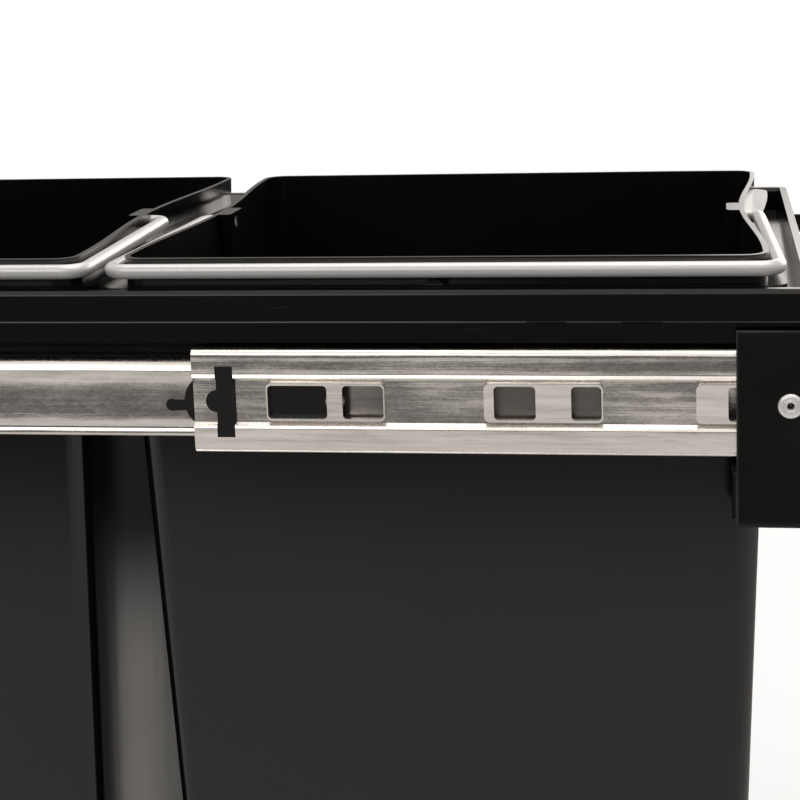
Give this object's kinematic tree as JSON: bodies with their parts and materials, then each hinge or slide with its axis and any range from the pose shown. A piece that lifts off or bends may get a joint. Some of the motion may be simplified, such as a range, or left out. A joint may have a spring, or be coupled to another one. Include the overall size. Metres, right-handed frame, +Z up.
{
  "type": "pull-out bin frame",
  "caption": "Pull-out bin frame: lift-out buckets with bail handles in a tray ring, on full-extension ball-bearing slides with cabinet and door brackets.",
  "frame": {"origin": "under the middle of the whole part, at the level of the buckets' feet, with the frame pulled out as in the picture", "axes": "+X along the slides towards the back of the cabinet, +Y across the cabinet to the left side, +Z up"},
  "size_m": [0.7944, 0.2664, 0.39],
  "materials": {
    "galvanised": "galvanised, satin",
    "black_steel": "semi-gloss powder coat",
    "rivet": "bright",
    "clip_plastic": "matte",
    "cage": "satin",
    "ball": "polished",
    "black_plastic": "gloss",
    "handle_grey": "satin"
  },
  "bodies": {
    "cabinet_rails": {"outer_rail_right": "galvanised", "outer_rail_left": "galvanised", "rail_bracket_right": "black_steel", "rail_bracket_left": "black_steel", "bracket_rivets_right": "rivet", "bracket_rivets_left": "rivet", "stop_clip_right": "clip_plastic", "stop_clip_left": "clip_plastic", "clip_rivet_right": "rivet", "clip_rivet_left": "rivet"},
    "mid_right": {"mid_rail_right": "galvanised"},
    "mid_left": {"mid_rail_left": "galvanised"},
    "outer_bearing_right": {"outer_cage_right": "cage", "outer_balls_right": "ball"},
    "outer_bearing_left": {"outer_cage_left": "cage", "outer_balls_left": "ball"},
    "inner_bearing_right": {"inner_cage_right": "cage", "inner_balls_right": "ball"},
    "inner_bearing_left": {"inner_cage_left": "cage", "inner_balls_left": "ball"},
    "bin_frame": {"inner_rail_right": "galvanised", "inner_rail_left": "galvanised", "side_beam_right": "black_steel", "side_beam_left": "black_steel", "rail_rivets_right": "rivet", "rail_rivets_left": "rivet", "front_cross_member": "black_steel", "middle_cross_member": "black_steel", "rear_cross_member": "black_steel", "tray_ring": "black_plastic", "door_bracket_right": "black_steel", "door_bracket_left": "black_steel", "door_bracket_screws": "rivet", "door_bracket_nuts": "rivet"},
    "bucket_front": {"front_bucket": "black_plastic"},
    "bucket_rear": {"rear_bucket": "black_plastic"},
    "handle_front": {"front_handle": "handle_grey"},
    "handle_rear": {"rear_handle": "handle_grey"}
  },
  "joints": [
    {"name": "frame_slide", "type": "slide", "parent": "cabinet_rails", "child": "bin_frame", "axis": [-1, 0, 0], "range_m": [-0.2825, 0.1975]},
    {"name": "mid_slide_right", "type": "slide", "parent": "cabinet_rails", "child": "mid_right", "axis": [-1, 0, 0], "range_m": [-0.14125, 0.09875]},
    {"name": "mid_slide_left", "type": "slide", "parent": "cabinet_rails", "child": "mid_left", "axis": [-1, 0, 0], "range_m": [-0.14125, 0.09875]},
    {"name": "outer_bearing_slide_right", "type": "slide", "parent": "cabinet_rails", "child": "outer_bearing_right", "axis": [-1, 0, 0], "range_m": [-0.07062, 0.04938]},
    {"name": "outer_bearing_slide_left", "type": "slide", "parent": "cabinet_rails", "child": "outer_bearing_left", "axis": [-1, 0, 0], "range_m": [-0.07062, 0.04938]},
    {"name": "inner_bearing_slide_right", "type": "slide", "parent": "cabinet_rails", "child": "inner_bearing_right", "axis": [-1, 0, 0], "range_m": [-0.21188, 0.14813]},
    {"name": "inner_bearing_slide_left", "type": "slide", "parent": "cabinet_rails", "child": "inner_bearing_left", "axis": [-1, 0, 0], "range_m": [-0.21188, 0.14813]},
    {"name": "front_bucket_lift", "type": "slide", "parent": "bin_frame", "child": "bucket_front", "axis": [0, 0, 1], "range_m": [0, 0.42]},
    {"name": "rear_bucket_lift", "type": "slide", "parent": "bin_frame", "child": "bucket_rear", "axis": [0, 0, 1], "range_m": [0, 0.42]},
    {"name": "front_handle_fold", "type": "hinge", "parent": "bucket_front", "child": "handle_front", "pos_m": [-0.26495, 0, 0.3859], "axis": [-1, 0, 0], "range_deg": [0, 180]},
    {"name": "rear_handle_fold", "type": "hinge", "parent": "bucket_rear", "child": "handle_rear", "pos_m": [-0.01575, 0, 0.3859], "axis": [-1, 0, 0], "range_deg": [0, 180]}
  ],
  "couplings": [
    {"joint": "mid_slide_right", "follows": "frame_slide", "ratio": 0.5},
    {"joint": "mid_slide_left", "follows": "frame_slide", "ratio": 0.5},
    {"joint": "outer_bearing_slide_right", "follows": "frame_slide", "ratio": 0.25},
    {"joint": "outer_bearing_slide_left", "follows": "frame_slide", "ratio": 0.25},
    {"joint": "inner_bearing_slide_right", "follows": "frame_slide", "ratio": 0.75},
    {"joint": "inner_bearing_slide_left", "follows": "frame_slide", "ratio": 0.75}
  ]
}
